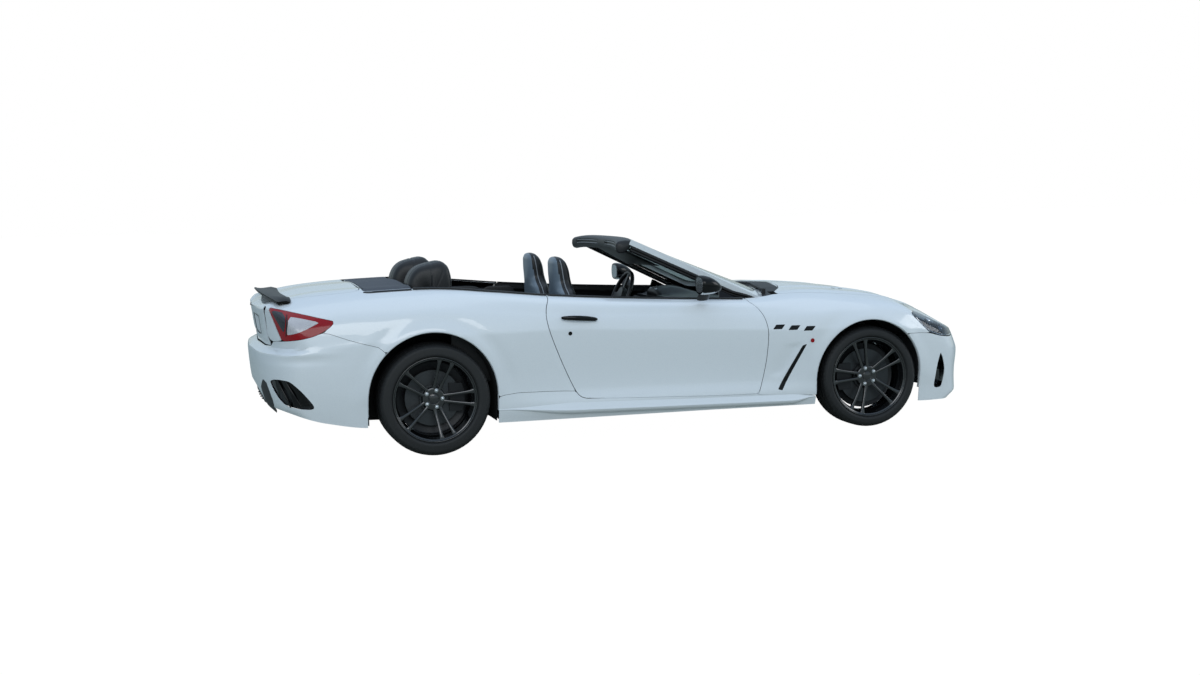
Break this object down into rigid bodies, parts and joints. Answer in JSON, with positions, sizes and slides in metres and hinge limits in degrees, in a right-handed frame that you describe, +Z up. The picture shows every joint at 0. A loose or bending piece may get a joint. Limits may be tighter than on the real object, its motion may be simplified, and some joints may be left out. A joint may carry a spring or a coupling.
{
  "type": "four-seat convertible car",
  "caption": "Two-door four-seat open car, roof stowed, windows lowered, low-profile tyres on twin-spoke wheels, opening doors, bonnet, boot lid and stowage lid",
  "frame": {"origin": "on the ground under the middle of the car's length and width", "axes": "+X forward along the car, +Y to the car's left, +Z up"},
  "size_m": [4.912, 2.152, 1.303],
  "materials": {
    "body_white": "gloss pearl white paint",
    "black_plastic": "fine grained",
    "gloss_black": "gloss",
    "black_leather": "smooth leather",
    "screen_glass": "clear",
    "lamp_clear": "dark headlamp behind clear cover",
    "lamp_red": "red lens",
    "tyre": "rubber",
    "rim_black": "gloss black paint on alloy",
    "brake_iron": "machined",
    "cast_alloy": "as cast",
    "pan_grey": "primed and sealed",
    "steel": "brushed",
    "tonneau_cloth": "woven"
  },
  "bodies": {
    "body": {"floor_pan": "pan_grey", "arch_liners": "black_plastic", "engine_block": "cast_alloy", "front_bumper": "body_white", "grilles": "black_plastic", "fenders": "body_white", "rear_quarters": "body_white", "sills": "body_white", "cowl_panel": "black_plastic", "windscreen_frame": "body_white", "windscreen_glass": "screen_glass", "dashboard": "black_leather", "front_seats": "black_leather", "rear_seats": "black_leather", "rear_headrests": "black_leather", "rear_bumper": "body_white", "diffuser": "black_plastic", "exhaust": "steel", "headlamps": "lamp_clear", "tail_lamps": "lamp_red", "front_suspension": "cast_alloy", "rear_axle": "cast_alloy"},
    "door_l": {"door_left": "body_white", "mirror_left": "gloss_black"},
    "door_r": {"door_right": "body_white", "mirror_right": "gloss_black"},
    "bonnet_b": {"bonnet": "body_white"},
    "boot_b": {"boot_lid": "body_white", "spoiler": "black_plastic"},
    "tonneau_b": {"tonneau_lid": "tonneau_cloth"},
    "knuckle_l": {"knuckle_left": "cast_alloy"},
    "knuckle_r": {"knuckle_right": "cast_alloy"},
    "wheel_fl": {"tyre_front_left": "tyre", "rim_front_left": "rim_black", "brake_disc_front_left": "brake_iron"},
    "wheel_fr": {"tyre_front_right": "tyre", "rim_front_right": "rim_black", "brake_disc_front_right": "brake_iron"},
    "wheel_rl": {"tyre_rear_left": "tyre", "rim_rear_left": "rim_black", "brake_disc_rear_left": "brake_iron"},
    "wheel_rr": {"tyre_rear_right": "tyre", "rim_rear_right": "rim_black", "brake_disc_rear_right": "brake_iron"},
    "steering": {"steering_wheel": "black_leather"}
  },
  "joints": [
    {"name": "door_left_hinge", "type": "hinge", "parent": "body", "child": "door_l", "pos_m": [0.74, 0.905, 0.56], "axis": [0, 0, -1], "range_deg": [0, 62]},
    {"name": "door_right_hinge", "type": "hinge", "parent": "body", "child": "door_r", "pos_m": [0.74, -0.905, 0.56], "axis": [0, 0, 1], "range_deg": [0, 62]},
    {"name": "bonnet_hinge", "type": "hinge", "parent": "body", "child": "bonnet_b", "pos_m": [1.002, 0, 0.884], "axis": [0, -1, 0], "range_deg": [0, 50]},
    {"name": "boot_hinge", "type": "hinge", "parent": "body", "child": "boot_b", "pos_m": [-1.811, 0, 1.035], "axis": [0, 1, 0], "range_deg": [0, 60]},
    {"name": "tonneau_hinge", "type": "hinge", "parent": "body", "child": "tonneau_b", "pos_m": [-1.751, 0, 1.036], "axis": [0, -1, 0], "range_deg": [0, 32]},
    {"name": "steer_left", "type": "hinge", "parent": "body", "child": "knuckle_l", "pos_m": [1.561, 0.73, 0.3395], "axis": [0, 0, 1], "range_deg": [-30, 30]},
    {"name": "steer_right", "type": "hinge", "parent": "body", "child": "knuckle_r", "pos_m": [1.561, -0.73, 0.3395], "axis": [0, 0, 1], "range_deg": [-30, 30]},
    {"name": "steering_wheel_turn", "type": "hinge", "parent": "body", "child": "steering", "pos_m": [0.205, 0.374, 0.862], "axis": [-0.9135, 0, 0.4067], "range_deg": [-400, 400]},
    {"name": "wheel_front_left_spin", "type": "hinge", "parent": "knuckle_l", "child": "wheel_fl", "pos_m": [1.561, 0.793, 0.3395], "axis": [0, 1, 0], "continuous": true},
    {"name": "wheel_front_right_spin", "type": "hinge", "parent": "knuckle_r", "child": "wheel_fr", "pos_m": [1.561, -0.793, 0.3395], "axis": [0, 1, 0], "continuous": true},
    {"name": "wheel_rear_left_spin", "type": "hinge", "parent": "body", "child": "wheel_rl", "pos_m": [-1.381, 0.795, 0.353], "axis": [0, 1, 0], "continuous": true},
    {"name": "wheel_rear_right_spin", "type": "hinge", "parent": "body", "child": "wheel_rr", "pos_m": [-1.381, -0.795, 0.353], "axis": [0, 1, 0], "continuous": true}
  ],
  "couplings": [
    {"joint": "steer_right", "follows": "steer_left", "ratio": 1},
    {"joint": "steering_wheel_turn", "follows": "steer_left", "ratio": 13}
  ]
}
